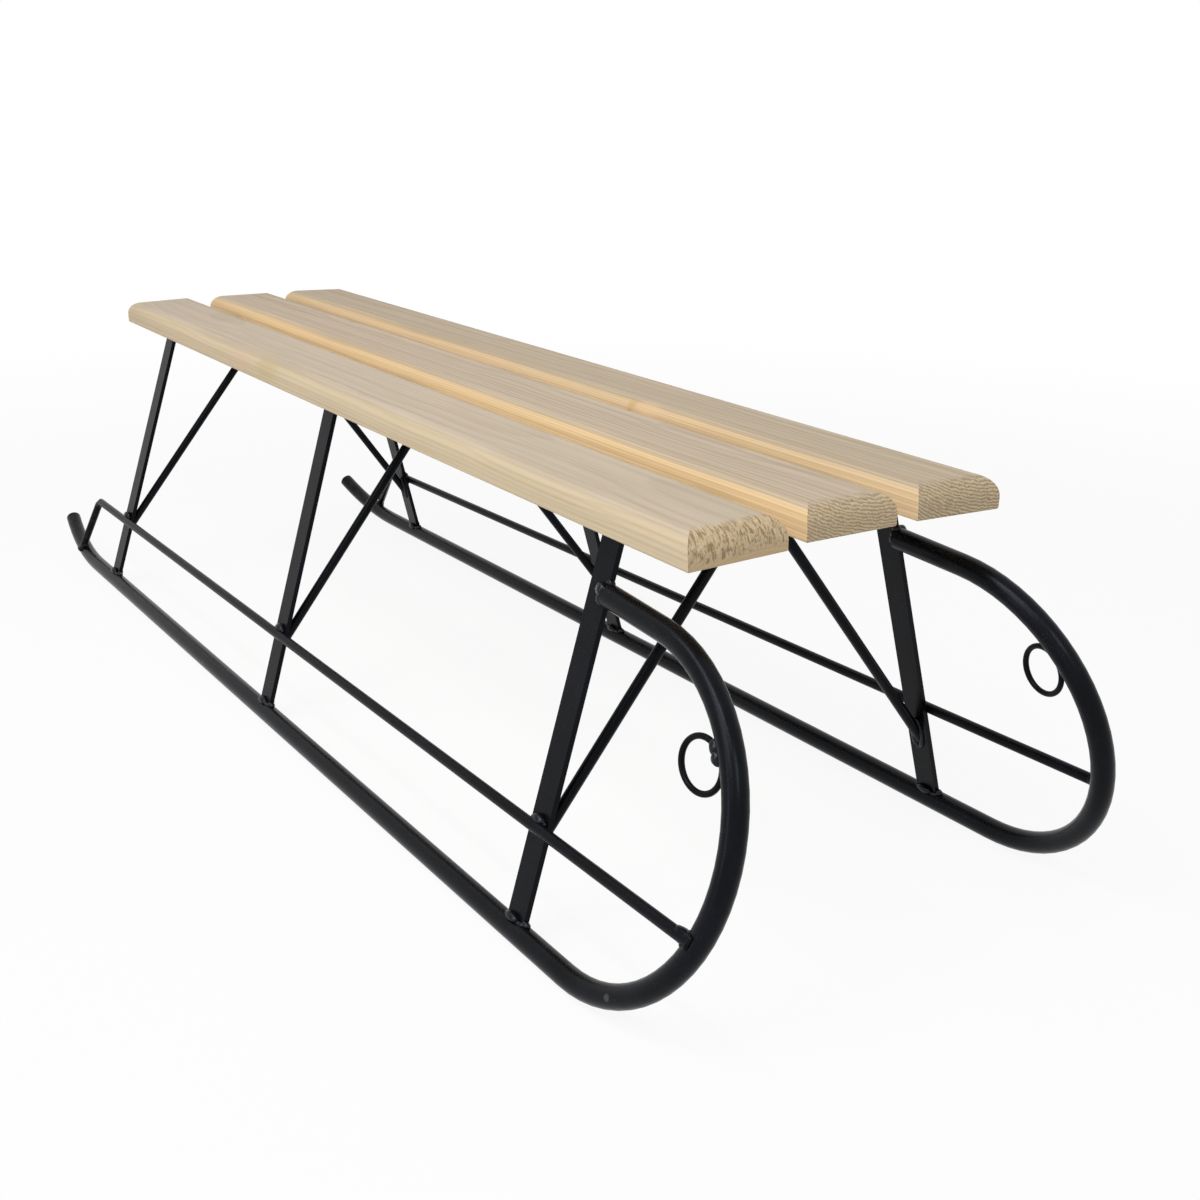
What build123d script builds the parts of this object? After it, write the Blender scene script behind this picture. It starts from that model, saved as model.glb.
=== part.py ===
"""Two-seat sled: a welded steel frame on two curled tube runners, with three pine seat boards.

Millimetres. X runs forward, Y to the sled's left, Z up. The floor is Z = 0 and the origin
lies on it, midway along the sled and midway between the runners.
"""
import os
from math import cos, radians, sin, sqrt, tan

from build123d import *

# Stock sizes
TUBE_OD = 20.0        # runner tube
TUBE_WALL = 2.0       # shown at the open tail end
TUBE_BORE = 40.0      # depth of the bore there
BAR_W = 25.0          # flat bar of the bows, wide side along X
BAR_T = 5.0
ROD_D = 10.0          # braces and side rails
RING_WIRE = 5.0       # thickness of a tow ring's wire
RING_FLATS = 8        # sides of the wire's section, few to keep the facets low
RING_SIDES = 24       # straight pieces round a tow ring, for the same reason
RING_HOLE = 37.0      # clear diameter inside a tow ring
BOARD_W = 93.0
BOARD_T = 28.0

# Frame
TRACK = 472.0         # between the runner centre lines
SPLAY = 16.0          # lean of legs and runners, degrees from upright
SEAT_H = 350.5        # top of the middle bow, where the middle board rests
SEAT_RISE = 6.75      # rise of the seat from one bow to the next one behind it
BOW_PITCH = 550.0     # from one bow to the next
BEND_R = 9.0          # inside radius where a leg turns into the crossbar
CROWN = 1.5           # fall of the crossbar under the outer boards, degrees
REAR_RAKE = 5.0       # lean of the rear bow, top forward, degrees
RAKE_LEVEL = 150.0    # height at which a raked bow crosses its own place along X

# Runners, measured along their centre lines and in their leaning plane
CURL_DROP = 53.0      # from the top of the front bow down to the curl's end on its leg
CURL_START = 79.0     # from the front bow to the start of the curl
CURL_SWEEP = 176.0    # degrees turned by the curl
TAIL_R = 380.0        # centre line radius of the upturned tail
TAIL_START = 98.0     # from the rear bow back to the start of the tail
TAIL_SWEEP = 24.0     # degrees turned by the tail

# Side rails and braces
RAIL_BEND_CUT = 6.0   # set back of the two creases that a rail's hammered bend is made of
BRACE_LOW_V = 77.0    # foot of a brace on its leg, along the leg
BRACE_TOP_GAP = 5.0   # clear gap between the two brace tops of a bow

# Boards
BOARD_GAP = 24.5
EDGE_ROUND = 16.0     # radius along the long top edges
END_ROUND = 19.0      # radius over the ends
EASED = 2.0           # radius along the bottom edges and ends
END_CLEAR = 0.05      # end profile past the board's top and underside, for a clean cut

# Tow rings
RING_ANGLE = 36.5     # place on the curl, degrees above its middle
RING_TWIST = 10.0     # turn out of the curl's plane towards upright, degrees
RING_SEAT = 0.6       # depth to which the ring is ground to sit on the tube

# Tables: one row for each side, each rail, each bow and each board
SIDES = [("left", 1), ("right", -1)]
RAILS = [  # name, side, height up the rear and the front leg, rear bow to bend, bend to foot
    ("left", 1, 90.5, 104.5, 58.0, 100.0),
    ("right", -1, 87.5, 92.0, 122.0, 37.0),
]
BOWS = [("rear", -1, REAR_RAKE), ("middle", 0, 0.0), ("front", 1, 0.0)]  # name, place along X, rake
BOARDS = [  # name, place across, past the front bow, past the rear bow
    ("left", 1, 116.0, 97.0),
    ("middle", 0, 118.0, 88.0),
    ("right", -1, 125.5, 93.0),
]

# Derived places
TUBE_R = TUBE_OD / 2
ROD_R = ROD_D / 2
HALF_TRACK = TRACK / 2
TAIL_TURN = radians(TAIL_SWEEP)
LEAN_SIN = sin(radians(SPLAY))
LEAN_COS = cos(radians(SPLAY))
CURL_END = radians(CURL_SWEEP - 90)
CURL_TOP_V = (SEAT_H - SEAT_RISE - CURL_DROP - TUBE_R) / LEAN_COS
CURL_R = (CURL_TOP_V - CURL_START / tan(CURL_END)) / (1 + 1 / sin(CURL_END))
REACH_FRONT = BOW_PITCH + CURL_START + CURL_R + TUBE_R
REACH_REAR = BOW_PITCH + TAIL_START + (TAIL_R + TUBE_R) * sin(TAIL_TURN)
MID_X = (REACH_REAR - REACH_FRONT) / 2
FRONT_X = MID_X + BOW_PITCH
REAR_X = MID_X - BOW_PITCH
CURL_X = FRONT_X + CURL_START
TAIL_X = REAR_X - TAIL_START
KINK_Y = (BOARD_W + BOARD_GAP) / 2


def leaning(side, out=0.0):
    """Plane of one runner and its legs: local x forward, local y up the leg, moved outward by out."""
    origin = (0, side * (HALF_TRACK + out * LEAN_COS), TUBE_R + out * LEAN_SIN)
    return Plane(origin=origin, x_dir=(1, 0, 0), z_dir=(0, -LEAN_COS, -side * LEAN_SIN))


def largest(shape):
    """Biggest solid of a shape that a cut may have left in pieces."""
    return max(shape.solids(), key=lambda solid: solid.volume)


def tail_arc(last=0.0):
    """Centre line of the tail in the runner's plane, from its open end forward to the turn last."""
    turns = (TAIL_TURN, (TAIL_TURN + last) / 2, last)
    return ThreePointArc(*[(TAIL_X - TAIL_R * sin(turn), TAIL_R * (1 - cos(turn))) for turn in turns])


def runner_line():
    """Centre line of a runner in its plane: tail, straight run, curl and the short top run."""
    mid_turn = (CURL_END - radians(90)) / 2
    curl_mid = (CURL_X + CURL_R * cos(mid_turn), CURL_R * (1 + sin(mid_turn)))
    curl_end = (CURL_X + CURL_R * cos(CURL_END), CURL_R * (1 + sin(CURL_END)))
    top_end = (FRONT_X, CURL_TOP_V)
    straight = Line((TAIL_X, 0), (CURL_X, 0))
    curl = ThreePointArc((CURL_X, 0), curl_mid, curl_end)
    top = Line(curl_end, top_end)
    return Wire([tail_arc().edge(), straight.edge(), curl.edge(), top.edge()])


def round_bar(side, line, radius, out=0.0, transition=Transition.TRANSFORMED):
    """Round bar along a line drawn in a runner's plane, or in a plane moved outward from it."""
    path = leaning(side, out) * line
    section = Plane(origin=path @ 0, z_dir=path % 0) * Circle(radius)
    return sweep(section, path=path, transition=transition)


def runner_solid(side):
    """Runner before boring, cut square where its top end meets the front leg."""
    behind = Pos(FRONT_X + BAR_W / 2, 0, SEAT_H) * Box(
        4 * TUBE_OD, 2 * TRACK, 2 * SEAT_H - 8 * TUBE_OD, align=(Align.MAX, Align.CENTER, Align.CENTER)
    )
    return largest(round_bar(side, runner_line(), TUBE_R) - behind)


def shift_line(points, out):
    """Line through points moved sideways to the left of its run by out, corners mitred."""
    ends = list(zip(points[:-1], points[1:]))
    lines = []
    for (ya, za), (yb, zb) in ends:
        length = sqrt((yb - ya) ** 2 + (zb - za) ** 2)
        dy, dz = (yb - ya) / length, (zb - za) / length
        lines.append((ya - dz * out, za + dy * out, dy, dz))
    moved = [(lines[0][0], lines[0][1])]
    for (ya, za, dya, dza), (yb, zb, dyb, dzb) in zip(lines[:-1], lines[1:]):
        t = ((yb - ya) * dzb - (zb - za) * dyb) / (dya * dzb - dza * dyb)
        moved.append((ya + t * dya, za + t * dza))
    (ya, za), (yb, zb) = ends[-1]
    moved.append((lines[-1][0] + yb - ya, lines[-1][1] + zb - za))
    return moved


def bow_shift(rake, z):
    """How far forward of its own place a raked bow lies at height z."""
    return tan(radians(rake)) * (z - RAKE_LEVEL)


def bow_top(step, rake):
    """Height of a bow's crossbar on the seat's slope, step counted forward from the middle bow."""
    slope, lean = SEAT_RISE / BOW_PITCH, tan(radians(rake))
    return (SEAT_H - slope * (step * BOW_PITCH - lean * RAKE_LEVEL)) / (1 + slope * lean)


def bow_line(top):
    """Middle of the flat bar seen from the front, from the left foot over the seat to the right foot."""
    fall = tan(radians(CROWN))
    kink_y = KINK_Y - BAR_T / 2 * tan(radians(CROWN) / 2)
    kink_z = top - BAR_T / 2
    lean = LEAN_SIN / LEAN_COS
    corner_y = (HALF_TRACK - lean * (kink_z + fall * kink_y - TUBE_R)) / (1 - lean * fall)
    corner_z = kink_z - fall * (corner_y - kink_y)
    half = [(HALF_TRACK, TUBE_R), (corner_y, corner_z), (kink_y, kink_z)]
    return half + [(-y, z) for y, z in reversed(half)]


def bow_solid(x, top, rake):
    """Flat bar bow at x, its two feet hollowed to sit on the runner tubes."""
    outer = shift_line(bow_line(top), -BAR_T / 2)
    inner = shift_line(bow_line(top), BAR_T / 2)
    corners = [(x - BAR_W / 2 + bow_shift(rake, z), y, z) for y, z in outer + inner[::-1]]
    face = make_face(Polyline(*corners, close=True).edges())
    bar = extrude(face, BAR_W, dir=(1, 0, 0))
    along = bar.edges().filter_by(Axis.X)
    for line, radius in ((outer, BEND_R + BAR_T), (inner, BEND_R)):
        for y, z in (line[1], line[4]):
            corner = along.sort_by_distance((x + bow_shift(rake, z), y, z))[0]
            near = bar.edges().filter_by(Axis.X).sort_by_distance(corner.center())[0]
            bar = fillet(near, radius)
    for _, side in SIDES:
        tube = Pos(x, side * HALF_TRACK, TUBE_R) * Rot(0, 90, 0) * Cylinder(TUBE_R, 2 * BAR_W)
        bar = largest(bar - tube)
    return bar


def brace_solid(x, top, rake, side):
    """Rod of one bow from the leg's inner face up to the underside of the crossbar near the middle."""
    leg = leaning(side, -BAR_T / 2)
    low = leg.from_local_coords((0, BRACE_LOW_V, 0))
    under_z = top - BAR_T
    top_y = BRACE_TOP_GAP / 2 + ROD_R
    for _ in range(12):
        rise, run = under_z - low.Z, abs(low.Y) - top_y
        top_y = BRACE_TOP_GAP / 2 + ROD_R * sqrt(rise ** 2 + run ** 2) / rise
    foot = Vector(x + bow_shift(rake, low.Z), low.Y, low.Z)
    way = Vector(x + bow_shift(rake, under_z), side * top_y, under_z) - foot
    unit = way.normalized()
    start = foot - unit * 2 * ROD_D
    rod = extrude(Plane(origin=start, z_dir=unit) * Circle(ROD_R), way.length + 4 * ROD_D)
    inside = shift_line(bow_line(top), BAR_T / 2)
    clear = extrude(Plane.YZ * make_face(Polyline(*inside, close=True).edges()), top, both=True)
    return largest(rod & (Pos(x, 0, 0) * clear))


def rail_solid(side, tube, rear_v, front_v, bend, foot):
    """Rod along the outer faces of the legs, coped to the curl in front and to the tail behind."""
    rise = (front_v - rear_v) / (2 * BOW_PITCH)
    bend_x, bend_v = REAR_X - bend, rear_v - rise * bend
    foot_x = bend_x - foot
    foot_v = TAIL_R - sqrt(TAIL_R ** 2 - max(TAIL_X - foot_x, 0) ** 2)
    end_v = front_v
    for _ in range(8):
        end_x = CURL_X + sqrt(CURL_R ** 2 - (CURL_R - end_v) ** 2)
        end_v = front_v + rise * (end_x - FRONT_X)
    slope = sqrt(foot ** 2 + (bend_v - foot_v) ** 2)
    ahead = (bend_x + RAIL_BEND_CUT, bend_v + rise * RAIL_BEND_CUT)
    behind = (bend_x - RAIL_BEND_CUT * foot / slope, bend_v - RAIL_BEND_CUT * (bend_v - foot_v) / slope)
    line = Polyline((end_x, end_v), ahead, behind, (foot_x, foot_v))
    rod = round_bar(side, Wire(line.edges()), ROD_R, (BAR_T + ROD_D) / 2, Transition.RIGHT)
    return largest(rod - tube)


def board_profile(width, height, radius):
    """Flat-bottomed board section of the given size: big rounds above, eased corners below."""
    face = Rectangle(width, height, align=(Align.CENTER, Align.MIN))
    face = fillet(face.vertices().group_by(Axis.Y)[-1], radius)
    return fillet(face.vertices().group_by(Axis.Y)[0], EASED)


def slat_solid(place, over_front, over_rear):
    """Seat board lying on the bows: its cross profile run along it, trimmed to its end profile."""
    length = 2 * BOW_PITCH + over_front + over_rear
    along = extrude(Plane.YZ * board_profile(BOARD_W, BOARD_T, EDGE_ROUND), length, both=True)
    ends = board_profile(length, BOARD_T + 2 * END_CLEAR, END_ROUND)
    across = extrude(Plane.XZ * ends, BOARD_W, both=True)
    shape = along & (Pos(0, 0, -END_CLEAR) * across)
    board = Pos((over_front - over_rear - BAR_W) / 2, place * KINK_Y, 0) * shape
    forward = Vector(BOW_PITCH, 0, -SEAT_RISE)
    sideways = Vector(0, 1, -place * tan(radians(CROWN)))
    origin = (MID_X + BAR_W / 2, place * KINK_Y, SEAT_H)
    return Plane(origin=origin, x_dir=forward, z_dir=forward.cross(sideways)) * board


def ring_solid(side, tube):
    """Wire ring inside the curl, twisted a little out of the curl's plane, ground to sit on the tube."""
    wire_r = (RING_HOLE + RING_WIRE) / 2
    reach = CURL_R - TUBE_R - wire_r - RING_WIRE / 2 + RING_SEAT
    turns = [radians(360 * (k + 0.5) / RING_SIDES) for k in range(RING_SIDES)]
    corners = [(wire_r * cos(turn), wire_r * sin(turn)) for turn in turns]
    start = (wire_r * cos(turns[0]), 0)
    loop = Wire(Polyline(start, *corners, start).edges())
    section = RegularPolygon(RING_WIRE / 2, RING_FLATS, major_radius=False, rotation=180 / RING_FLATS)
    ring = sweep(Plane(origin=loop @ 0, z_dir=loop % 0) * section, path=loop, transition=Transition.RIGHT)
    spot = Pos(CURL_X, CURL_R) * Rot(0, 0, RING_ANGLE) * Pos(reach, 0) * Rot(-side * RING_TWIST, 0, 0)
    return largest(leaning(side) * spot * ring - tube)


parts = {}
for side_name, side, *rail_sizes in RAILS:
    filled = runner_solid(side)
    bore_line = Wire([tail_arc(TAIL_TURN - TUBE_BORE / TAIL_R).edge()])
    parts[f"runner_{side_name}"] = largest(filled - round_bar(side, bore_line, TUBE_R - TUBE_WALL))
    parts[f"side_rail_{side_name}"] = rail_solid(side, filled, *rail_sizes)
    parts[f"tow_ring_{side_name}"] = ring_solid(side, filled)
for bow_name, step, rake in BOWS:
    bow_x, top = MID_X + step * BOW_PITCH, bow_top(step, rake)
    parts[f"bow_{bow_name}"] = bow_solid(bow_x, top, rake)
    for side_name, side in SIDES:
        parts[f"brace_{bow_name}_{side_name}"] = brace_solid(bow_x, top, rake, side)
for board_name, place, over_front, over_rear in BOARDS:
    parts[f"slat_{board_name}"] = slat_solid(place, over_front, over_rear)

os.makedirs("parts", exist_ok=True)
for node, solid in parts.items():
    export_step(solid, f"parts/{node}.step")
    box = solid.bounding_box()
    print(node, round(solid.volume / 1000, 1), "cm3", box.min, box.max)
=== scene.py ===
"""Dresses the two-seat sled: camera, floor, light, black paint, pine, welds, screws and tow rings."""
from math import atan2, cos, pi, radians, sin, sqrt, tan

import bmesh
import bpy
import numpy as np
from mathutils import Matrix, Vector


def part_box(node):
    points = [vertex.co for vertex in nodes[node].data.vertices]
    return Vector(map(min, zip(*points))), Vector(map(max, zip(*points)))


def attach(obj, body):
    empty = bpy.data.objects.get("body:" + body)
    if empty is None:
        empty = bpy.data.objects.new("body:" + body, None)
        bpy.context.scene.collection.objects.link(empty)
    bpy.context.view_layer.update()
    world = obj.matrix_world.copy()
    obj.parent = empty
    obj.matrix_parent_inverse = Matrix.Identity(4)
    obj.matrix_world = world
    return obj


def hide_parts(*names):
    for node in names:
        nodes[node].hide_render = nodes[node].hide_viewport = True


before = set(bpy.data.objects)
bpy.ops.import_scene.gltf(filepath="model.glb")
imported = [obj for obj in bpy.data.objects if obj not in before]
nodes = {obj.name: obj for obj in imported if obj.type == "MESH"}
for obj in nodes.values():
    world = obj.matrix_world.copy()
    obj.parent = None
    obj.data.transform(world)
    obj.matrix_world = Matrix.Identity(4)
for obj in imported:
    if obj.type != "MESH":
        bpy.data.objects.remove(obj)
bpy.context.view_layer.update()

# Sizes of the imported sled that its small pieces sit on, in metres
TUBE_R = 0.010
ROD_R = 0.005
BAR_W = 0.025
BAR_T = 0.005
HALF_TRACK = 0.236
LEAN = radians(16.0)
CROWN = radians(1.5)
BOARD_W = 0.093
BOARD_GAP = 0.0245
HALF_PITCH = (BOARD_W + BOARD_GAP) / 2
BRACE_LOW_V = 0.077
BRACE_TOP_GAP = 0.005
TAIL_R = 0.380
TAIL_START = 0.098
CURL_START = 0.079
CURL_DROP = 0.053
CURL_END = radians(86.0)
RING_R = 0.021
RING_WIRE = 0.005
RING_ANGLE = radians(36.5)
RING_TWIST = radians(10.0)
SIDES = (("left", 1), ("right", -1))
BOWS = ("rear", "middle", "front")
RAILS = {  # height up the rear and the front leg, rear bow to bend, bend to foot
    "left": (0.0905, 0.1045, 0.058, 0.100),
    "right": (0.0875, 0.0920, 0.122, 0.037),
}
RAKE_LEVEL = 0.150
SCREW_Y = (-0.114, -0.088, -0.027, 0.027, 0.088, 0.114)  # screws across a crossbar


def bow_x(name, z=RAKE_LEVEL):
    """Middle of a bow's flat bar along X at height z, on the straight way from its feet to its crossbar."""
    low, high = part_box(f"bow_{name}")
    foot, top = low[0] + BAR_W / 2, high[0] - BAR_W / 2
    return foot + (top - foot) * (z - low[2]) / (high[2] - low[2])


def bow_top(name):
    """Height of the top of a bow's crossbar."""
    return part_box(f"bow_{name}")[1][2]


FRONT_X = bow_x("front")
REAR_X = bow_x("rear")
CURL_X = FRONT_X + CURL_START
TAIL_X = REAR_X - TAIL_START
CURL_TOP_V = (bow_top("front") - CURL_DROP - TUBE_R) / cos(LEAN)
CURL_R = (CURL_TOP_V - CURL_START / tan(CURL_END)) / (1 + 1 / sin(CURL_END))
SEAT_SLOPE = atan2(bow_top("middle") - bow_top("front"), FRONT_X - bow_x("middle"))


# Camera, fitted to the edges of the photograph
def set_camera():
    """Camera from its fitted place and its right, up and forward directions."""
    lens = bpy.data.cameras.new("photo_camera")
    lens.sensor_width = 36.0
    lens.lens = 45.5966
    lens.shift_x = 0.015541
    lens.shift_y = -0.019793
    camera = bpy.data.objects.new("photo_camera", lens)
    right = Vector((0.540529, 0.841295, 0.007189))
    up = Vector((-0.258849, 0.158168, 0.952880))
    forward = Vector((-0.800516, 0.516920, -0.303263))
    place = Matrix((right, up, -forward)).transposed().to_4x4()
    place.translation = (1.517697, -0.790619, 0.667622)
    camera.matrix_world = place
    bpy.context.collection.objects.link(camera)
    bpy.context.scene.camera = camera


set_camera()


class Finish:
    """A node material being built: each call adds one node and gives back its output socket."""

    def __init__(self, name):
        self.material = bpy.data.materials.new(name)
        self.material.use_nodes = True
        self.tree = self.material.node_tree
        self.shader = self.tree.nodes["Principled BSDF"]
        self.where = self.node("ShaderNodeTexCoord").outputs["Object"]

    def node(self, kind, **settings):
        """New node with its settings."""
        made = self.tree.nodes.new(kind)
        for key, value in settings.items():
            setattr(made, key, value)
        return made

    def put(self, socket, value):
        """Links a socket to another, or sets it to a number or colour."""
        if isinstance(value, bpy.types.NodeSocket):
            self.tree.links.new(value, socket)
        elif value is not None:
            socket.default_value = value

    def math(self, operation, a, b=None, c=None, clamp=False):
        """One number from up to three."""
        made = self.node("ShaderNodeMath", operation=operation, use_clamp=clamp)
        for socket, value in zip(made.inputs, (a, b, c)):
            self.put(socket, value)
        return made.outputs[0]

    def times(self, vector, scale):
        """Vector stretched by a number for each axis."""
        made = self.node("ShaderNodeVectorMath", operation="MULTIPLY")
        self.put(made.inputs[0], vector)
        self.put(made.inputs[1], scale)
        return made.outputs[0]

    def parts(self, vector):
        """The x, y and z of a vector."""
        made = self.node("ShaderNodeSeparateXYZ")
        self.put(made.inputs[0], vector)
        return made.outputs[0], made.outputs[1], made.outputs[2]

    def noise(self, where, scale, detail=2.0, roughness=0.5):
        """Soft noise about 0.5."""
        made = self.node("ShaderNodeTexNoise", noise_dimensions="3D")
        self.put(made.inputs["Vector"], where)
        made.inputs["Scale"].default_value = scale
        made.inputs["Detail"].default_value = detail
        made.inputs["Roughness"].default_value = roughness
        return made.outputs["Fac"]

    def ease(self, value, low, high, start=0.0, end=1.0):
        """Smooth step from start to end as value goes from low to high."""
        made = self.node("ShaderNodeMapRange", interpolation_type="SMOOTHSTEP")
        self.put(made.inputs["Value"], value)
        made.inputs["From Min"].default_value = low
        made.inputs["From Max"].default_value = high
        made.inputs["To Min"].default_value = start
        made.inputs["To Max"].default_value = end
        return made.outputs[0]

    def mix(self, share, a, b, blend="MIX"):
        """Colour a going over to colour b."""
        made = self.node("ShaderNodeMix", data_type="RGBA", blend_type=blend)
        self.put(made.inputs[0], share)
        self.put(made.inputs[6], a if isinstance(a, bpy.types.NodeSocket) else (*a, 1.0))
        self.put(made.inputs[7], b if isinstance(b, bpy.types.NodeSocket) else (*b, 1.0))
        return made.outputs[2]

    def distance(self, where, spot):
        """Distance of the place from a spot."""
        made = self.node("ShaderNodeVectorMath", operation="DISTANCE")
        self.put(made.inputs[0], where)
        made.inputs[1].default_value = spot
        return made.outputs["Value"]

    def bump(self, height, strength, distance):
        """Bump from a height, set on the shader."""
        made = self.node("ShaderNodeBump")
        made.inputs["Strength"].default_value = strength
        made.inputs["Distance"].default_value = distance
        self.put(made.inputs["Height"], height)
        self.put(self.shader.inputs["Normal"], made.outputs[0])


# Colours of the paint and of what shows through it
DEEP_BLACK = (0.0020, 0.0020, 0.0024)
WORN_BLACK = (0.0042, 0.0042, 0.0050)
BLUE_BLACK = (0.0052, 0.0050, 0.0086)
DUST = (0.060, 0.060, 0.062)
TAIL_RUST = (0.040, 0.024, 0.017)
SCRAPED_STEEL = (0.105, 0.100, 0.096)
CHIP_GREY = (0.060, 0.060, 0.064)

# Colours of the pine, the first four as factors on a board's own tone
PALE_PATCH = (1.035, 1.03, 1.02)
DARK_PATCH = (0.96, 0.965, 0.95)
EARLY_WOOD = (1.075, 1.080, 1.090)
LATE_WOOD = (0.860, 0.825, 0.770)
END_LATE_WOOD = (0.275, 0.200, 0.118)
END_PIT = (0.245, 0.165, 0.080)
END_TUFT = (0.72, 0.590, 0.405)

# Bare spots in the paint: place and radius
PAINT_CHIPS = (
    ((0.7055, -0.2418, 0.0275), 0.0030),
    ((0.7150, -0.2418, 0.0310), 0.0010),
    ((-0.7600, -0.2320, 0.0310), 0.0014),
    ((0.7800, 0.1980, 0.1500), 0.0010),
    ((-0.1650, -0.2455, 0.0120), 0.0012),
)


def black_paint(name, gloss):
    """Satin black brushed over welded steel: fine orange peel, cloudy gloss, dust, a few chips and scuffs.

    Gloss from 0 to 1 takes the roughness down and the shine up: the paint is a little shinier on the
    runners, and thick and shiny on the welds.
    """
    f = Finish(name)
    x, _, z = f.parts(f.where)
    cloud = f.noise(f.where, 7.0, 4.0, 0.6)
    brush = f.noise(f.times(f.where, (0.25, 1.0, 1.0)), 190.0, 3.0, 0.6)
    peel = f.noise(f.where, 620.0, 2.0, 0.5)
    grit = f.noise(f.where, 900.0, 1.0, 0.4)
    colour = f.mix(f.ease(cloud, 0.35, 0.70), DEEP_BLACK, WORN_BLACK)
    tint = f.noise(f.times(f.where, (1.0, 1.0, 0.6)), 34.0, 3.0, 0.6)
    colour = f.mix(f.ease(tint, 0.50, 0.66, 0.0, 0.7), colour, BLUE_BLACK)
    dust = f.math("MULTIPLY", f.ease(grit, 0.64, 0.74), f.ease(cloud, 0.42, 0.62))
    colour = f.mix(f.math("MULTIPLY", dust, 0.35), colour, DUST)
    tail = f.math("MULTIPLY", f.ease(x, -0.56, -0.68), f.ease(brush, 0.46, 0.66))
    colour = f.mix(f.math("MULTIPLY", tail, 0.45), colour, TAIL_RUST)
    scrape = f.noise(f.times(f.where, (6.0, 160.0, 160.0)), 1.0, 3.0, 0.6)
    under = f.math("MULTIPLY", f.ease(z, 0.0026, 0.0004), f.ease(scrape, 0.44, 0.60))
    colour = f.mix(f.math("MULTIPLY", under, 0.7), colour, SCRAPED_STEEL)
    ragged = f.noise(f.where, 480.0, 2.0, 0.6)
    chips = None
    for spot, size in PAINT_CHIPS:
        reach = f.math("MULTIPLY_ADD", ragged, 0.0030, f.distance(f.where, spot))
        mark = f.ease(reach, size + 0.0024, size + 0.0008)
        chips = mark if chips is None else f.math("MAXIMUM", chips, mark)
    colour = f.mix(f.math("MULTIPLY", chips, 0.8), colour, CHIP_GREY)
    f.put(f.shader.inputs["Base Color"], colour)
    rough = f.math("MULTIPLY_ADD", brush, 0.16, 0.20 - 0.10 * gloss)
    rough = f.math("ADD", rough, f.math("MULTIPLY", f.math("ADD", dust, under), 0.18), clamp=True)
    f.put(f.shader.inputs["Roughness"], rough)
    height = f.math("MULTIPLY_ADD", peel, 0.5, f.math("MULTIPLY", brush, 0.8))
    height = f.math("SUBTRACT", height, f.math("MULTIPLY", chips, 0.8))
    f.bump(height, 0.35, 0.00022)
    f.shader.inputs["Specular IOR Level"].default_value = 0.08 + 0.17 * gloss
    f.shader.inputs["Specular Tint"].default_value = (0.80, 0.88, 1.0, 1.0)
    return f.material


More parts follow.
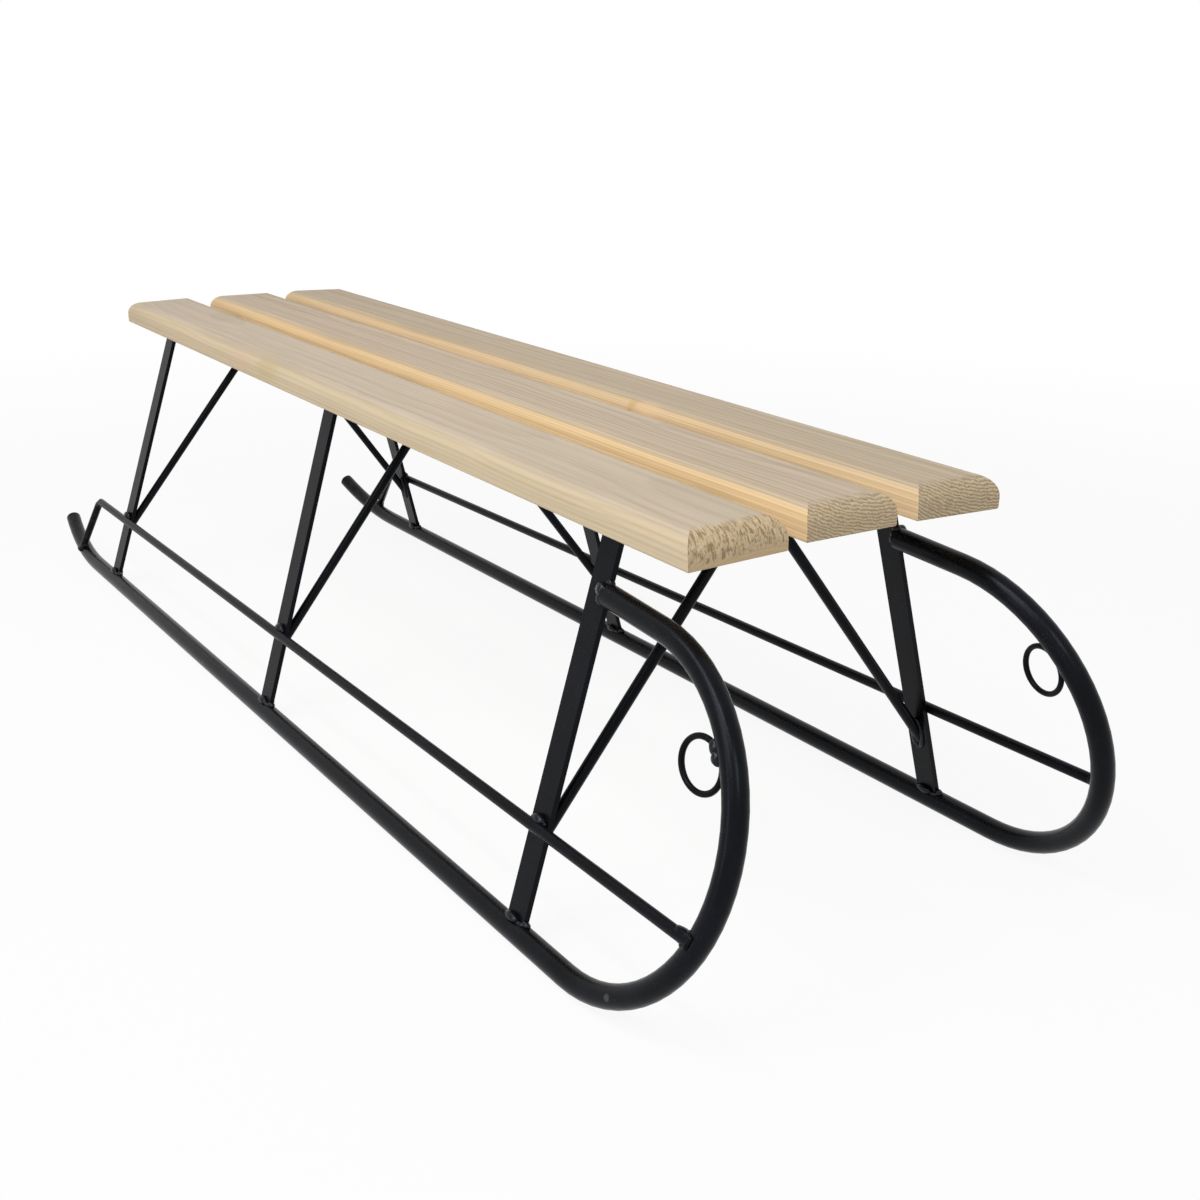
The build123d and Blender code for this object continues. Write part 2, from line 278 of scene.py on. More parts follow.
def pine(name, centre, tilt, side_tone_with_painted_light, top_tone, pith, pitch, taper, torn, marks):
    """Planed pine cut from a log: year rings are slim cones about the pith.

    The board's own place has x along it, y across and z up from its underside. The ring number is the
    distance from the pith line plus a small part of x, over the ring width. Late wood is the dark end
    of each ring. Faces turned sideways take a warmer, brighter tone than the top: painted bounce light
    between the boards. The cut ends are darker and rougher, their rings wavy, and torn ones have short
    upright pits instead. Knots and stains are soft spots stretched along an axis.
    """
    f = Finish(name)
    board = f.node("ShaderNodeMapping", vector_type="TEXTURE")
    f.put(board.inputs["Vector"], f.where)
    board.inputs["Location"].default_value = centre
    board.inputs["Rotation"].default_value = (tilt, SEAT_SLOPE, 0.0)
    place = board.outputs[0]
    x, y, z = f.parts(place)
    sway = f.noise(f.times(place, (1.0, 0.05, 0.05)), 2.3, 1.0)
    lift = f.noise(f.times(place, (1.0, 0.05, 0.05)), 3.7, 1.0)
    wave = f.noise(f.times(place, (5.0, 60.0, 60.0)), 1.0, 2.0)
    wobble = f.noise(f.times(place, (5.0, 120.0, 120.0)), 1.0, 2.0, 0.6)
    across = f.math("SUBTRACT", f.math("MULTIPLY_ADD", sway, 0.014, y), pith[0] + 0.007)
    deep = f.math("SUBTRACT", f.math("MULTIPLY_ADD", lift, 0.010, z), pith[1] + 0.005)
    radius = f.math("SQRT", f.math("MULTIPLY_ADD", across, across, f.math("MULTIPLY", deep, deep)))
    radius = f.math("MULTIPLY_ADD", x, taper, radius)
    radius = f.math("MULTIPLY_ADD", wave, 0.0022, radius)
    ring = f.math("FRACT", f.math("DIVIDE", radius, pitch))
    late = f.math("MULTIPLY", f.ease(ring, 0.30, 0.88), f.ease(ring, 1.0, 0.90))
    fibre = f.noise(f.times(place, (22.0, 900.0, 900.0)), 1.0, 2.0, 0.6)
    line = f.noise(f.times(place, (1.6, 300.0, 300.0)), 1.0, 2.0, 0.5)
    streak = f.noise(f.times(place, (1.6, 90.0, 90.0)), 1.0, 3.0, 0.6)
    broad = f.noise(f.times(place, (3.0, 16.0, 16.0)), 1.0, 3.0, 0.6)

    facing = f.parts(f.node("ShaderNodeNewGeometry").outputs["Normal"])
    # Sideways faces get the side tone, warmer and brighter than the top: painted bounce light between the
    # boards
    tone = f.mix(f.ease(f.math("MULTIPLY_ADD", broad, 0.24, facing[2]), 0.76, 1.06), side_tone_with_painted_light, top_tone)
    patch = f.mix(f.ease(broad, 0.32, 0.68), PALE_PATCH, DARK_PATCH)
    tone = f.mix(1.0, tone, patch, "MULTIPLY")
    grain = f.math("MULTIPLY", late, 0.60 - 0.25 * torn)
    grain = f.math("ADD", grain, f.ease(line, 0.46, 0.62, 0.0, 0.70 - 0.35 * torn))
    grain = f.math("ADD", grain, f.ease(streak, 0.42, 0.72, 0.0, 0.22))
    grain = f.math("ADD", grain, f.ease(fibre, 0.55, 0.80, 0.0, 0.30), clamp=True)
    colour = f.mix(1.0, tone, f.mix(grain, EARLY_WOOD, LATE_WOOD), "MULTIPLY")
    for spot, stretch, size, hue, share in marks:
        gone = f.distance(f.times(place, stretch), tuple(a * b for a, b in zip(spot, stretch)))
        gone = f.math("MULTIPLY_ADD", f.math("SUBTRACT", wobble, 0.5), 0.8 * size, gone)
        colour = f.mix(f.ease(gone, 1.5 * size, 0.4 * size, 0.0, share), colour, hue)

    edge = f.noise(f.times(place, (30.0, 420.0, 260.0)), 1.0, 2.0, 0.6)
    end_on = f.math("MULTIPLY_ADD", edge, 0.40, f.math("ABSOLUTE", facing[0]))
    end = f.ease(end_on, 0.30, 0.86 - 0.22 * torn)
    pits = f.noise(f.times(place, (60.0, 470.0, 185.0)), 1.0, 2.0, 0.6)
    tuft = f.noise(f.times(place, (60.0, 620.0, 240.0)), 1.0, 2.0, 0.6)
    end_ring = f.math("FRACT", f.math("DIVIDE", f.math("MULTIPLY_ADD", wobble, 0.0052, radius), pitch))
    end_late = f.math("MULTIPLY", f.ease(end_ring, 0.20, 0.75), f.ease(end_ring, 1.0, 0.86))
    fresh = (0.635, 0.520 - 0.050 * torn, 0.355 - 0.085 * torn)
    cut = f.mix(f.math("MULTIPLY", end_late, 0.95 - 0.80 * torn), fresh, END_LATE_WOOD)
    sawn = f.ease(f.math("MULTIPLY_ADD", y, -0.055, z), 0.0045, 0.0075)
    tear = f.math("MULTIPLY", f.ease(pits, 0.50 - 0.03 * torn, 0.60, 0.0, 0.22 + 0.78 * torn), sawn)
    cut = f.mix(f.math("MULTIPLY", tear, 0.85), cut, END_PIT)
    raised = f.math("MULTIPLY", f.ease(tuft, 0.50, 0.64, 0.0, 0.25 + 0.60 * torn), sawn)
    cut = f.mix(raised, cut, END_TUFT)
    colour = f.mix(f.math("MULTIPLY", end, 0.88), colour, cut)
    f.put(f.shader.inputs["Base Color"], colour)

    rough = f.math("MULTIPLY_ADD", fibre, 0.16, 0.52)
    rough = f.math("MULTIPLY_ADD", end, 0.18, rough, clamp=True)
    f.put(f.shader.inputs["Roughness"], rough)
    plain = f.math("MULTIPLY_ADD", fibre, 0.60, f.math("MULTIPLY", line, 0.70))
    plain = f.math("MULTIPLY_ADD", late, 0.40, plain)
    ragged = f.math("SUBTRACT", f.math("MULTIPLY", end_late, 1.6 - torn), f.math("MULTIPLY", tear, 3.5))
    height = f.math("MULTIPLY_ADD", f.math("SUBTRACT", ragged, plain), end, plain)
    f.bump(height, 0.45, 0.00035)
    f.shader.inputs["Specular IOR Level"].default_value = 0.25
    return f.material


def screw_zinc():
    """Zinc on a screw head: pale grey metal with a faint yellow cloud and fine turning marks."""
    f = Finish("screw_zinc")
    cloud = f.noise(f.where, 260.0, 3.0, 0.6)
    scratch = f.noise(f.times(f.where, (1.0, 1.0, 12.0)), 900.0, 2.0, 0.6)
    colour = f.mix(f.ease(cloud, 0.35, 0.68), (0.50, 0.49, 0.46), (0.58, 0.54, 0.44))
    f.put(f.shader.inputs["Base Color"], colour)
    f.put(f.shader.inputs["Roughness"], f.math("MULTIPLY_ADD", scratch, 0.25, 0.28))
    f.bump(scratch, 0.25, 0.00008)
    f.shader.inputs["Metallic"].default_value = 1.0
    return f.material


paint = black_paint("black_paint", 0.0)
runner_paint = black_paint("black_paint_on_runners", 0.2)
weld_paint = black_paint("black_paint_on_welds", 1.0)
zinc = screw_zinc()


def board_centre(name, place):
    """Middle of a board's underside, on the seat's slope and, for an outer board, over the crown's fall."""
    low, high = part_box(name)
    x = (low[0] + high[0]) / 2
    rest = bow_x("middle") + BAR_W / 2
    y = place * HALF_PITCH * (1 + cos(CROWN))
    return (x, y, bow_top("middle") - tan(SEAT_SLOPE) * (x - rest) - abs(place) * HALF_PITCH * sin(CROWN))


# Knots and stains on the boards: place, stretch, size, colour and strength
RIGHT_MARKS = (
    ((-0.215, -0.0465, 0.014), (0.35, 1.0, 1.0), 0.0100, (0.64, 0.455, 0.300), 0.50),
    ((-0.145, -0.0465, 0.020), (0.35, 1.0, 0.6), 0.0100, (0.50, 0.400, 0.200), 0.50),
    ((-0.180, -0.0300, 0.028), (0.25, 1.0, 1.0), 0.0080, (0.57, 0.455, 0.275), 0.40),
    ((-0.135, 0.0350, 0.028), (0.15, 1.0, 1.0), 0.0030, (0.42, 0.340, 0.200), 0.45),
)
MIDDLE_MARKS = (
    ((0.596, 0.038, 0.027), (0.16, 1.0, 1.0), 0.0026, (0.38, 0.262, 0.150), 0.60),
    ((0.604, 0.040, 0.026), (0.6, 1.0, 1.0), 0.0016, (0.20, 0.125, 0.065), 0.70),
    ((-0.330, 0.030, 0.028), (0.3, 1.0, 1.0), 0.0040, (0.42, 0.310, 0.190), 0.35),
)
LEFT_MARKS = (
    ((0.249, -0.0465, 0.019), (1.0, 1.0, 0.35), 0.0075, (0.60, 0.395, 0.165), 0.60),
    ((0.276, -0.0465, 0.021), (0.5, 1.0, 0.8), 0.0100, (0.80, 0.560, 0.330), 0.50),
    ((0.247, -0.0465, 0.0125), (0.5, 1.0, 1.0), 0.0024, (0.22, 0.130, 0.060), 0.80),
    ((0.3255, -0.0465, 0.0118), (0.6, 1.0, 1.0), 0.0015, (0.14, 0.090, 0.050), 0.85),
    ((-0.120, 0.020, 0.028), (0.3, 1.0, 1.0), 0.0040, (0.42, 0.310, 0.190), 0.35),
)
# Each side tone is brighter and warmer than its top tone: painted bounce light between the boards
slat_wood = {
    "slat_right": pine(
        "pine_right", board_centre("slat_right", -1), tilt=CROWN,
        side_tone_with_painted_light=(0.590, 0.472, 0.322), top_tone=(0.555, 0.460, 0.355),
        pith=(0.020, -0.120), pitch=0.0036, taper=0.0030, torn=1.0, marks=RIGHT_MARKS),
    "slat_middle": pine(
        "pine_middle", board_centre("slat_middle", 0), tilt=0.0,
        side_tone_with_painted_light=(0.785, 0.570, 0.325), top_tone=(0.560, 0.455, 0.345),
        pith=(0.040, 0.165), pitch=0.0026, taper=0.0012, torn=0.15, marks=MIDDLE_MARKS),
    "slat_left": pine(
        "pine_left", board_centre("slat_left", 1), tilt=-CROWN,
        side_tone_with_painted_light=(0.725, 0.545, 0.335), top_tone=(0.535, 0.436, 0.322),
        pith=(0.045, 0.160), pitch=0.0027, taper=0.0016, torn=0.10, marks=LEFT_MARKS),
}
for name, thing in nodes.items():
    finish = slat_wood.get(name, runner_paint if name.startswith("runner") else paint)
    for holder in thing.material_slots:
        holder.material = finish


# Surfaces from grids of points
def sheet_faces(rows, columns, start):
    """Corner numbers of the quads of a grid whose columns close on themselves."""
    r, c = np.meshgrid(np.arange(rows - 1), np.arange(columns), indexing="ij")
    n = (c + 1) % columns
    corners = [r * columns + c, r * columns + n, (r + 1) * columns + n, (r + 1) * columns + c]
    return np.stack(corners, axis=-1).reshape(-1, 4) + start


def piece(name, grids, material):
    """One smooth mesh from closed grids of points, poles merged and faces turned outwards."""
    points, faces, start = [], [], 0
    for grid in grids:
        rows, columns = grid.shape[:2]
        points.append(grid.reshape(-1, 3))
        faces.append(sheet_faces(rows, columns, start))
        start += rows * columns
    mesh = bpy.data.meshes.new(name)
    mesh.from_pydata(np.concatenate(points).tolist(), [], np.concatenate(faces).tolist())
    work = bmesh.new()
    work.from_mesh(mesh)
    bmesh.ops.remove_doubles(work, verts=work.verts, dist=1e-6)
    bmesh.ops.recalc_face_normals(work, faces=work.faces)
    work.to_mesh(mesh)
    work.free()
    mesh.polygons.foreach_set("use_smooth", np.ones(len(mesh.polygons), dtype=bool))
    mesh.materials.append(material)
    thing = bpy.data.objects.new(name, mesh)
    bpy.context.collection.objects.link(thing)
    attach(thing, "root")
    return thing


def unit(vectors):
    """Vectors scaled to length one."""
    return vectors / np.linalg.norm(vectors, axis=-1, keepdims=True)


def in_plane(side, x, v, out=0.0):
    """Place in a runner's leaning plane: x forward, v up the leg from the tube's middle, out outwards."""
    x, v, out = np.broadcast_arrays(*(np.asarray(value, float) for value in (x, v, out)))
    y = side * (HALF_TRACK - v * sin(LEAN) + out * cos(LEAN))
    return np.stack([x, y, TUBE_R + v * cos(LEAN) + out * sin(LEAN)], axis=-1)


def lumpy(t, seed, steps):
    """Uneven thickness of a hand weld along t from 0 to 1: overlapping puddles and a slow swell."""
    puddle = np.abs(np.sin(pi * steps * t + seed))
    thick = 0.86 + 0.20 * puddle + 0.10 * np.sin(2 * pi * t + 1.7 * seed)
    return thick + 0.05 * np.sin(6 * pi * t + 2.3 * seed)


def ring_bead(path, radius, seed, steps, around=12):
    """Bead on a closed path: a circle carried along it, its radius the uneven thickness of the weld."""
    path = np.concatenate([path, path[:1]])
    t = np.linspace(0.0, 1.0, len(path))
    ahead = np.roll(path[:-1], -1, axis=0) - np.roll(path[:-1], 1, axis=0)
    ahead = unit(np.concatenate([ahead, ahead[:1]]))
    away = path - path[:-1].mean(axis=0)
    away = unit(away - (away * ahead).sum(axis=-1, keepdims=True) * ahead)
    third = np.cross(ahead, away)
    turn = np.linspace(0.0, 2 * pi, around, endpoint=False)
    thick = radius * lumpy(t, seed, steps)
    thick[-1] = thick[0]
    return (path[:, None] + thick[:, None, None] * (np.cos(turn)[None, :, None] * away[:, None]
            + np.sin(turn)[None, :, None] * third[:, None]))


def straight_bead(start, end, up, radius, seed, steps, rows=25, around=12):
    """Bead between two points: a circle carried along the line, closing to a point at both ends."""
    t = np.linspace(0.0, 1.0, rows)
    ahead = unit(np.asarray(end) - np.asarray(start))
    side = unit(np.cross(ahead, up))
    rise = np.cross(side, ahead)
    turn = np.linspace(0.0, 2 * pi, around, endpoint=False)
    thick = radius * lumpy(t, seed, steps) * np.sqrt(np.clip(1 - np.abs(2 * t - 1) ** 3.5, 0.0, 1.0))
    line = np.asarray(start) + t[:, None] * (np.asarray(end) - np.asarray(start))
    return (line[:, None] + thick[:, None, None] * (np.cos(turn)[None, :, None] * side
            + np.sin(turn)[None, :, None] * rise))


def lump(centre, along, up, sizes, seed, rows=13, around=16):
    """Weld lump: an ellipsoid with three half sizes, its surface swelling and sinking by a tenth."""
    along = unit(np.asarray(along))
    side = unit(np.cross(up, along))
    rise = np.cross(along, side)
    lat = np.linspace(-pi / 2, pi / 2, rows)[:, None]
    lon = np.linspace(0.0, 2 * pi, around, endpoint=False)[None]
    swell = 0.10 * np.sin(2 * lon + seed) + 0.06 * np.sin(5 * lon + 3 * lat + 2 * seed)
    swell = 1.0 + np.cos(lat) * swell
    a = sizes[0] * swell * np.sin(lat)
    b = sizes[1] * swell * np.cos(lat) * np.cos(lon)
    c = sizes[2] * swell * np.cos(lat) * np.sin(lon)
    return np.asarray(centre) + a[..., None] * along + b[..., None] * side + c[..., None] * rise


def foot_loop(side, x):
    """Round the leg's foot on the runner: a rounded rectangle in x and out, lying on the tube."""
    t = np.linspace(0.0, 2 * pi, 64, endpoint=False)
    along = np.sign(np.cos(t)) * np.abs(np.cos(t)) ** 0.4
    across = np.sign(np.sin(t)) * np.abs(np.sin(t)) ** 0.55
    out = (BAR_T / 2 + 0.0008) * across
    v = np.sqrt(TUBE_R ** 2 - out ** 2) + 0.0004
    return in_plane(side, x + (BAR_W / 2 + 0.0006) * along, v, out)


def rod_loop(start, way, plane_point, plane_normal, radius, count=40):
    """Where a round rod meets a flat face: its circle slid along the rod until it lies on the face."""
    way = unit(np.asarray(way))
    first = unit(np.cross(way, (1.0, 0.0, 0.0)))
    second = np.cross(way, first)
    t = np.linspace(0.0, 2 * pi, count, endpoint=False)[:, None]
    rim = np.asarray(start) + radius * (np.cos(t) * first + np.sin(t) * second)
    slide = ((np.asarray(plane_point) - rim) @ np.asarray(plane_normal)) / (way @ np.asarray(plane_normal))
    return rim + slide[:, None] * way


def saddle_loop(side, at, way, centre, bend_r, radius, count=40):
    """Where a side rail meets a bent tube: its circle slid along the rail until it lies on the tube.

    Seen along the tube, a point at out from the tube's plane lies on the wall at the bend radius less
    the square root of tube radius squared less out squared.
    """
    t = np.linspace(0.0, 2 * pi, count, endpoint=False)
    out = (BAR_T / 2 + ROD_R) + radius * np.cos(t)
    wall = bend_r - np.sqrt(np.clip(TUBE_R ** 2 - out ** 2, 0.0, None))
    px = at[0] - way[1] * radius * np.sin(t) - centre[0]
    pv = at[1] + way[0] * radius * np.sin(t) - centre[1]
    b = px * way[0] + pv * way[1]
    slide = -b + np.sqrt(np.clip(b ** 2 - (px ** 2 + pv ** 2 - wall ** 2), 0.0, None))
    px, pv = px + slide * way[0], pv + slide * way[1]
    return in_plane(side, centre[0] + px, centre[1] + pv, np.minimum(out, 0.0112))


def brace_ends(side, bow):
    """Foot and top of a brace, where its middle line meets the leg and the crossbar."""
    low = in_plane(side, 0.0, BRACE_LOW_V, -BAR_T / 2)
    low[0] = bow_x(bow, low[2])
    under = bow_top(bow) - BAR_T
    top_y = BRACE_TOP_GAP / 2 + ROD_R
    for _ in range(12):
        rise, run = under - low[2], abs(low[1]) - top_y
        top_y = BRACE_TOP_GAP / 2 + ROD_R * sqrt(rise ** 2 + run ** 2) / rise
    return low, np.array([bow_x(bow, under), side * top_y, under])


def rail_v(name, x):
    """Height of a side rail up its legs, on the straight line from the rear leg to the front leg."""
    rear, front = RAILS[name][:2]
    return rear + (front - rear) * (x - REAR_X) / (FRONT_X - REAR_X)


FORWARD = (1, 0, 0)
UP = (0, 0, 1)
RUN_UP = 0.03  # from a rail's end back to where the search for its weld starts
RING_LUMP_TURNS = (-0.6, 2.9)  # degrees along the curl past a tow ring's own place
FOOT_LUMPS = (  # on a leg's foot: shift along x, place outwards, half length, half thickness
    (-0.0035, 0.0042, 0.0092, 0.0046),
    (0.0135, 0.0005, 0.0050, 0.0036),
    (-0.0015, -0.0042, 0.0088, 0.0042),
)
CURL_END_LUMPS = (  # where a curl ends on its leg: shift along x, up the leg, outwards, half size
    (-0.0010, 0.0085, 0.0, 0.0042),
    (-0.0030, 0.0025, 0.0058, 0.0064),
    (-0.0016, -0.0050, 0.0052, 0.0052),
    (-0.0015, 0.0, -0.0048, 0.0046),
)


def square_out(side):
    """Direction square to a runner's leaning plane, to the outside."""
    return np.array([0.0, side * cos(LEAN), sin(LEAN)])


def leg_welds(side_name, side):
    """Welds of the bows on one side: round the feet, along the side rail and round the brace ends."""
    feet, crossings, braces = [], [], []
    normal = square_out(side)
    for number, bow in enumerate(BOWS):
        x = bow_x(bow, 2 * TUBE_R)
        seed = 1.3 * number + 0.7 * side
        feet.append(ring_bead(foot_loop(side, x), 0.0021, seed, 5))
        for shift, out, half, size in FOOT_LUMPS:
            centre = in_plane(side, x + shift, TUBE_R + 0.0010, out)
            feet.append(lump(centre, FORWARD, UP, (half, 0.85 * size, size), seed + 40 * shift))

        v = rail_v(side_name, bow_x(bow, 0.1))
        x = bow_x(bow, TUBE_R + v * cos(LEAN))
        for way in (1, -1):
            reach = BAR_W / 2 - (0.0012 if way > 0 else 0.003)
            level, out = v + way * 0.0048, BAR_T / 2 + 0.0014
            rear, front = in_plane(side, x - reach, level, out), in_plane(side, x + reach, level, out)
            crossings.append(straight_bead(rear, front, normal, 0.0030, seed + way, 4))
        on_leg = in_plane(side, x + 0.0010, v + 0.0060, BAR_T / 2 + 0.0022)
        crossings.append(lump(on_leg, FORWARD, UP, (0.0086, 0.0046, 0.0056), seed))

        foot, top = brace_ends(side, bow)
        low_loop = rod_loop(foot, top - foot, foot, normal, ROD_R + 0.0006)
        top_loop = rod_loop(top, top - foot, top, UP, ROD_R + 0.0004)
        braces.append(ring_bead(low_loop, 0.0025, seed, 7))
        braces.append(ring_bead(top_loop, 0.0022, seed + 2, 7))
    piece(f"weld_feet_{side_name}", feet, weld_paint)
    piece(f"weld_rail_crossings_{side_name}", crossings, weld_paint)
    piece(f"weld_braces_{side_name}", braces, weld_paint)


def rail_end_welds(side_name, side):
    """Welds of one side rail on the curl and on the tail, where the rail's line meets the bent tube."""
    rear_v, front_v, bend, foot_back = RAILS[side_name]
    rise = (front_v - rear_v) / (FRONT_X - REAR_X)
    end_v = front_v
    for _ in range(8):
        end_x = CURL_X + sqrt(CURL_R ** 2 - (CURL_R - end_v) ** 2)
        end_v = rail_v(side_name, end_x)
    front = (end_x - RUN_UP, rail_v(side_name, end_x - RUN_UP))
    ahead = unit(np.array([1.0, rise]))
    bend_x, bend_v = REAR_X - bend, rail_v(side_name, REAR_X - bend)
    foot_x = bend_x - foot_back
    foot_v = TAIL_R - sqrt(TAIL_R ** 2 - (TAIL_X - foot_x) ** 2)
    down = unit(np.array([-foot_back, foot_v - bend_v]))
    back = (foot_x - down[0] * RUN_UP, foot_v - down[1] * RUN_UP)
    front_loop = saddle_loop(side, front, ahead, (CURL_X, CURL_R), CURL_R, ROD_R + 0.0004)
    back_loop = saddle_loop(side, back, down, (TAIL_X, TAIL_R), TAIL_R, ROD_R + 0.0004)
    on_curl = front_loop.mean(axis=0) + [-0.0050, 0.0, 0.0006]
    on_tail = back_loop.mean(axis=0) + [0.0050, 0.0, 0.0030]
    ends = [
        ring_bead(front_loop, 0.0019, side, 5),
        ring_bead(back_loop, 0.0021, side + 2, 5),
        lump(on_curl, FORWARD, UP, (0.0110, 0.0055, 0.0058), side),
        lump(on_tail, FORWARD, UP, (0.0052, 0.0044, 0.0040), side + 1),
    ]
    piece(f"weld_rail_ends_{side_name}", ends, paint)


def curl_end_welds(side_name, side):
    """Welds of one curl's end on the front leg: a bead down each side of the joint, and lumps on it."""
    joint_x = FRONT_X + BAR_W / 2
    curl = []
    for way in (1, -1):
        x, out = joint_x - 0.0016, way * 0.0040
        low, high = in_plane(side, x, CURL_TOP_V - 0.0085, out), in_plane(side, x, CURL_TOP_V + 0.0085, out)
        curl.append(straight_bead(low, high, square_out(side), 0.0036, side + way, 4))
    for shift, up, out, size in CURL_END_LUMPS:
        centre = in_plane(side, joint_x + shift, CURL_TOP_V + up, out)
        curl.append(lump(centre, UP, FORWARD, (size, 0.85 * size, size), side + 200 * up))
    piece(f"weld_curl_end_{side_name}", curl, weld_paint)


def ring_welds(side_name, side):
    """Two lumps that hold a tow ring on the inside of its curl."""
    spots = []
    reach = CURL_R - TUBE_R - 0.0010
    for number, turn in enumerate(RING_LUMP_TURNS):
        angle = RING_ANGLE + radians(turn)
        centre = in_plane(side, CURL_X + reach * cos(angle), CURL_R + reach * sin(angle), 0.0030)
        ahead = in_plane(side, CURL_X - sin(angle), CURL_R + cos(angle))
        along = ahead - in_plane(side, CURL_X, CURL_R)
        spots.append(lump(centre, along, square_out(side), (0.0066, 0.0052, 0.0050), side + number))
    piece(f"weld_ring_{side_name}", spots, weld_paint)


def tow_rings():
    """Round wire rings inside the curls: a circle of the wire carried round a larger circle.

    That circle stands on the curl's radius and is twisted about it out of the runner's plane.
    """
    reach = CURL_R - TUBE_R - RING_R - RING_WIRE / 2 + 0.0006
    t = np.linspace(0.0, 2 * pi, 97)[:, None]
    p = np.linspace(0.0, 2 * pi, 20, endpoint=False)[None]
    wire = RING_WIRE / 2 * (1.0 + 0.02 * np.sin(3 * t))
    radius = RING_R + wire * np.cos(p)
    outward = reach + radius * np.cos(t)
    up_curl = radius * np.sin(t) * cos(RING_TWIST) - wire * np.sin(p) * sin(RING_TWIST)
    out = radius * np.sin(t) * sin(RING_TWIST) + wire * np.sin(p) * cos(RING_TWIST)
    x = CURL_X + outward * cos(RING_ANGLE) - up_curl * sin(RING_ANGLE)
    v = CURL_R + outward * sin(RING_ANGLE) + up_curl * cos(RING_ANGLE)
    for side_name, side in SIDES:
        grid = in_plane(side, x, v, out)
        ring = piece(f"ring_wire_{side_name}", [grid], paint)
        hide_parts(f"tow_ring_{side_name}")


def screw_heads():
    """Pan heads under the crossbars: a dome with a sunk middle, turned about the screw's own line."""
    radius = np.array([0.0, 0.0010, 0.0013, 0.0016, 0.0026, 0.0036, 0.0042, 0.0043, 0.0043, 0.0])
    depth = np.array([0.0012, 0.0012, 0.0016, 0.0029, 0.0028, 0.0022, 0.0013, 0.0006, 0.0, 0.0])
    t = np.linspace(0.0, 2 * pi, 20, endpoint=False)[None]
    heads = []
    for bow in BOWS:
        x = bow_x(bow, bow_top(bow))
        for y in SCREW_Y:
            fall = max(abs(y) - HALF_PITCH, 0.0) * tan(CROWN)
            tilt = np.sign(y) * CROWN if abs(y) > HALF_PITCH else 0.0
            up = np.array([0.0, sin(tilt), cos(tilt)])
            level = np.array([0.0, cos(tilt), -sin(tilt)])
            centre = np.array([x, y, bow_top(bow) - BAR_T / cos(tilt) - fall])
            ring = np.cos(t)[..., None] * np.array([1.0, 0.0, 0.0]) + np.sin(t)[..., None] * level
            ring = radius[:, None, None] * ring
            heads.append(centre + ring - depth[:, None, None] * up)
    piece("seat_screws", heads, zinc)


for side_name, side in SIDES:
    leg_welds(side_name, side)
    rail_end_welds(side_name, side)
    curl_end_welds(side_name, side)
    ring_welds(side_name, side)
tow_rings()
screw_heads()


# Floor, backdrop light and lamps
LAMPS = (  # name, place, aim, width, height, watts, colour
    ("soft_side", (0.8, -2.0, 2.35), (0.0, 0.0, 0.25), 1.4, 1.8, 31.5, (1.0, 0.985, 0.96)),
    ("low_strip", (0.3, -2.8, 0.8), (0.4, 0.0, 0.20), 0.35, 1.4, 8.0, (0.74, 0.86, 1.0)),
    ("long_strip", (0.6, -1.2, 2.5), (0.6, 0.0, 0.25), 3.0, 0.3, 24.0, (0.985, 0.985, 0.98)),
    ("soft_front", (2.75, -0.5, 2.0), (0.3, 0.0, 0.25), 0.7, 0.7, 10.0, (0.92, 0.96, 1.0)),
)


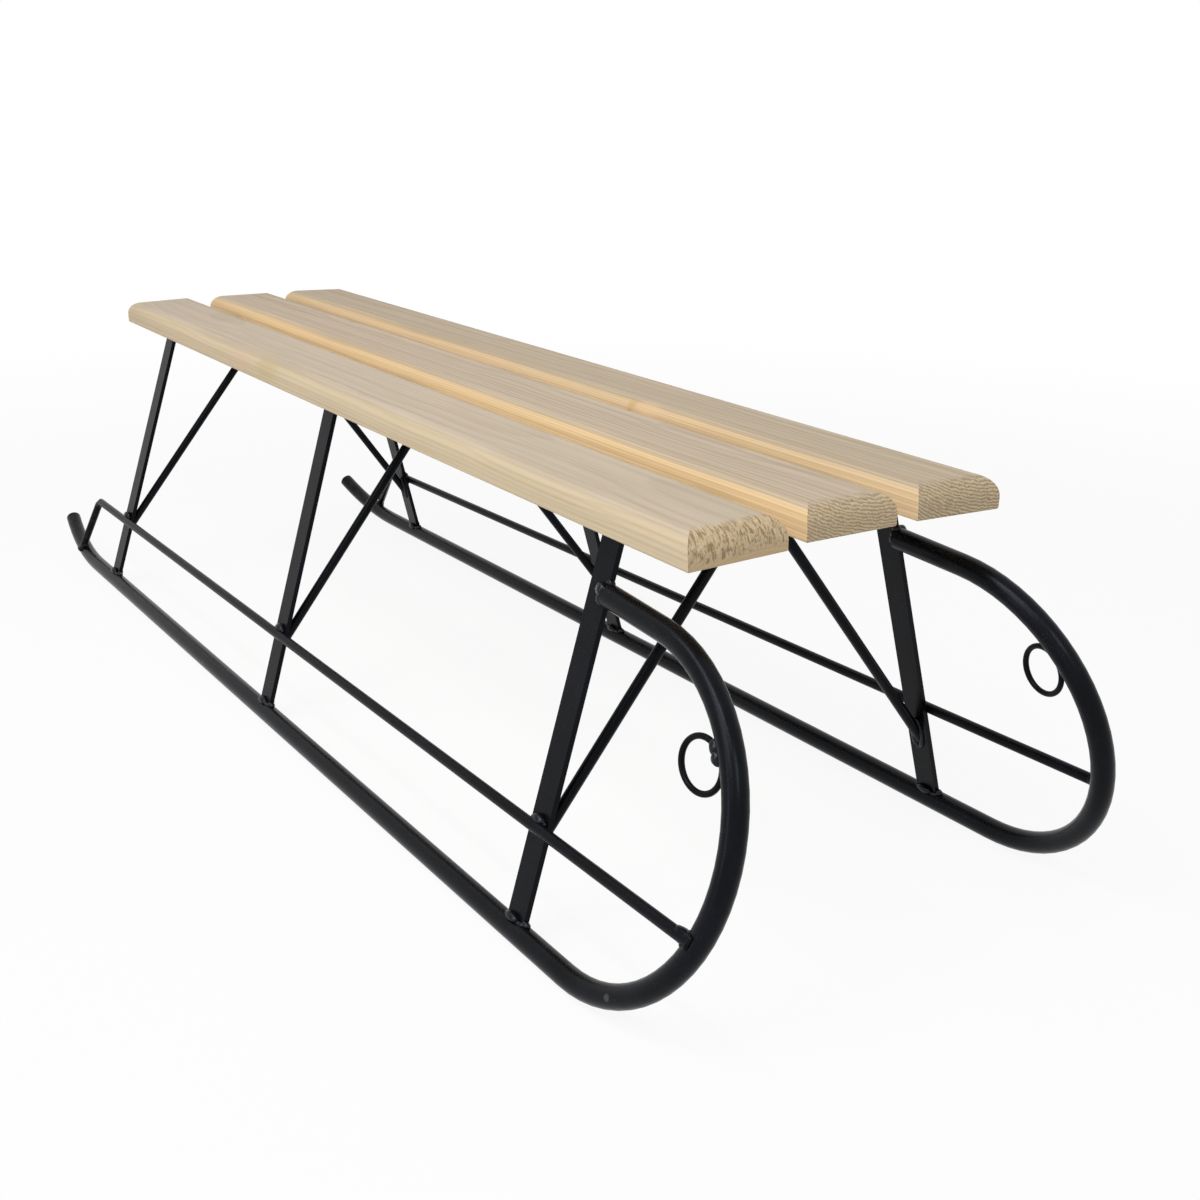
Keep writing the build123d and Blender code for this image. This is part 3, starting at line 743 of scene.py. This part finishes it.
def white_floor():
    """Pale floor: white to the camera, keeping a part of its own shade so that the shadow shows."""
    reach = 9.0
    mesh = bpy.data.meshes.new("floor")
    corners = reach * np.array([[-1, -1, 0], [1, -1, 0], [1, 1, 0], [-1, 1, 0]])
    mesh.from_pydata(corners.tolist(), [], [[0, 1, 2, 3]])
    floor = bpy.data.objects.new("floor", mesh)
    bpy.context.collection.objects.link(floor)
    f = Finish("floor_white")
    spread = f.distance(f.where, (0.0, 0.0, 0.0))
    tone = f.mix(f.noise(f.where, 3.0, 2.0), (0.84, 0.84, 0.84), (0.86, 0.86, 0.86))
    f.put(f.shader.inputs["Base Color"], tone)
    f.shader.inputs["Roughness"].default_value = 0.9
    f.shader.inputs["Specular IOR Level"].default_value = 0.0
    glow = f.node("ShaderNodeEmission")
    rays = f.node("ShaderNodeLightPath").outputs
    seen = f.math("MAXIMUM", rays["Is Glossy Ray"], rays["Is Transmission Ray"])
    seen = f.math("MAXIMUM", rays["Is Camera Ray"], seen)
    blend = f.node("ShaderNodeMixShader")
    f.put(blend.inputs[0], f.math("MULTIPLY", seen, f.ease(spread, 0.9, 3.0, 0.91, 1.0)))
    f.put(blend.inputs[1], f.shader.outputs[0])
    f.put(blend.inputs[2], glow.outputs[0])
    f.put(f.tree.nodes["Material Output"].inputs["Surface"], blend.outputs[0])
    mesh.materials.append(f.material)


def white_world():
    """Even white light all round, white to the camera and in reflections."""
    world = bpy.data.worlds.new("studio")
    world.use_nodes = True
    tree = world.node_tree
    light = tree.nodes["Background"]
    light.inputs["Color"].default_value = (1.0, 1.0, 1.0, 1.0)
    light.inputs["Strength"].default_value = 0.34
    shown = tree.nodes.new("ShaderNodeBackground")
    shown.inputs["Color"].default_value = (1.0, 1.0, 1.0, 1.0)
    shown.inputs["Strength"].default_value = 1.0
    rays = tree.nodes.new("ShaderNodeLightPath").outputs
    either = tree.nodes.new("ShaderNodeMath")
    either.operation = "MAXIMUM"
    tree.links.new(rays["Is Camera Ray"], either.inputs[0])
    tree.links.new(rays["Is Transmission Ray"], either.inputs[1])
    both = tree.nodes.new("ShaderNodeMath")
    both.operation = "MAXIMUM"
    tree.links.new(either.outputs[0], both.inputs[0])
    tree.links.new(rays["Is Glossy Ray"], both.inputs[1])
    blend = tree.nodes.new("ShaderNodeMixShader")
    tree.links.new(both.outputs[0], blend.inputs[0])
    tree.links.new(light.outputs[0], blend.inputs[1])
    tree.links.new(shown.outputs[0], blend.inputs[2])
    tree.links.new(blend.outputs[0], tree.nodes["World Output"].inputs["Surface"])
    bpy.context.scene.world = world


def lamp(name, place, aim, wide, tall, watts, colour):
    """Soft lamp of a width and height at a place, turned to face the aim."""
    light = bpy.data.lights.new(name, "AREA")
    light.shape = "RECTANGLE"
    light.size = wide
    light.size_y = tall
    light.energy = watts
    light.color = colour
    thing = bpy.data.objects.new(name, light)
    way = Vector(aim) - Vector(place)
    thing.matrix_world = Matrix.Translation(place) @ way.to_track_quat("-Z", "Y").to_matrix().to_4x4()
    bpy.context.collection.objects.link(thing)


white_floor()
white_world()
for row in LAMPS:
    lamp(*row)

bpy.context.scene.view_settings.view_transform = "Standard"
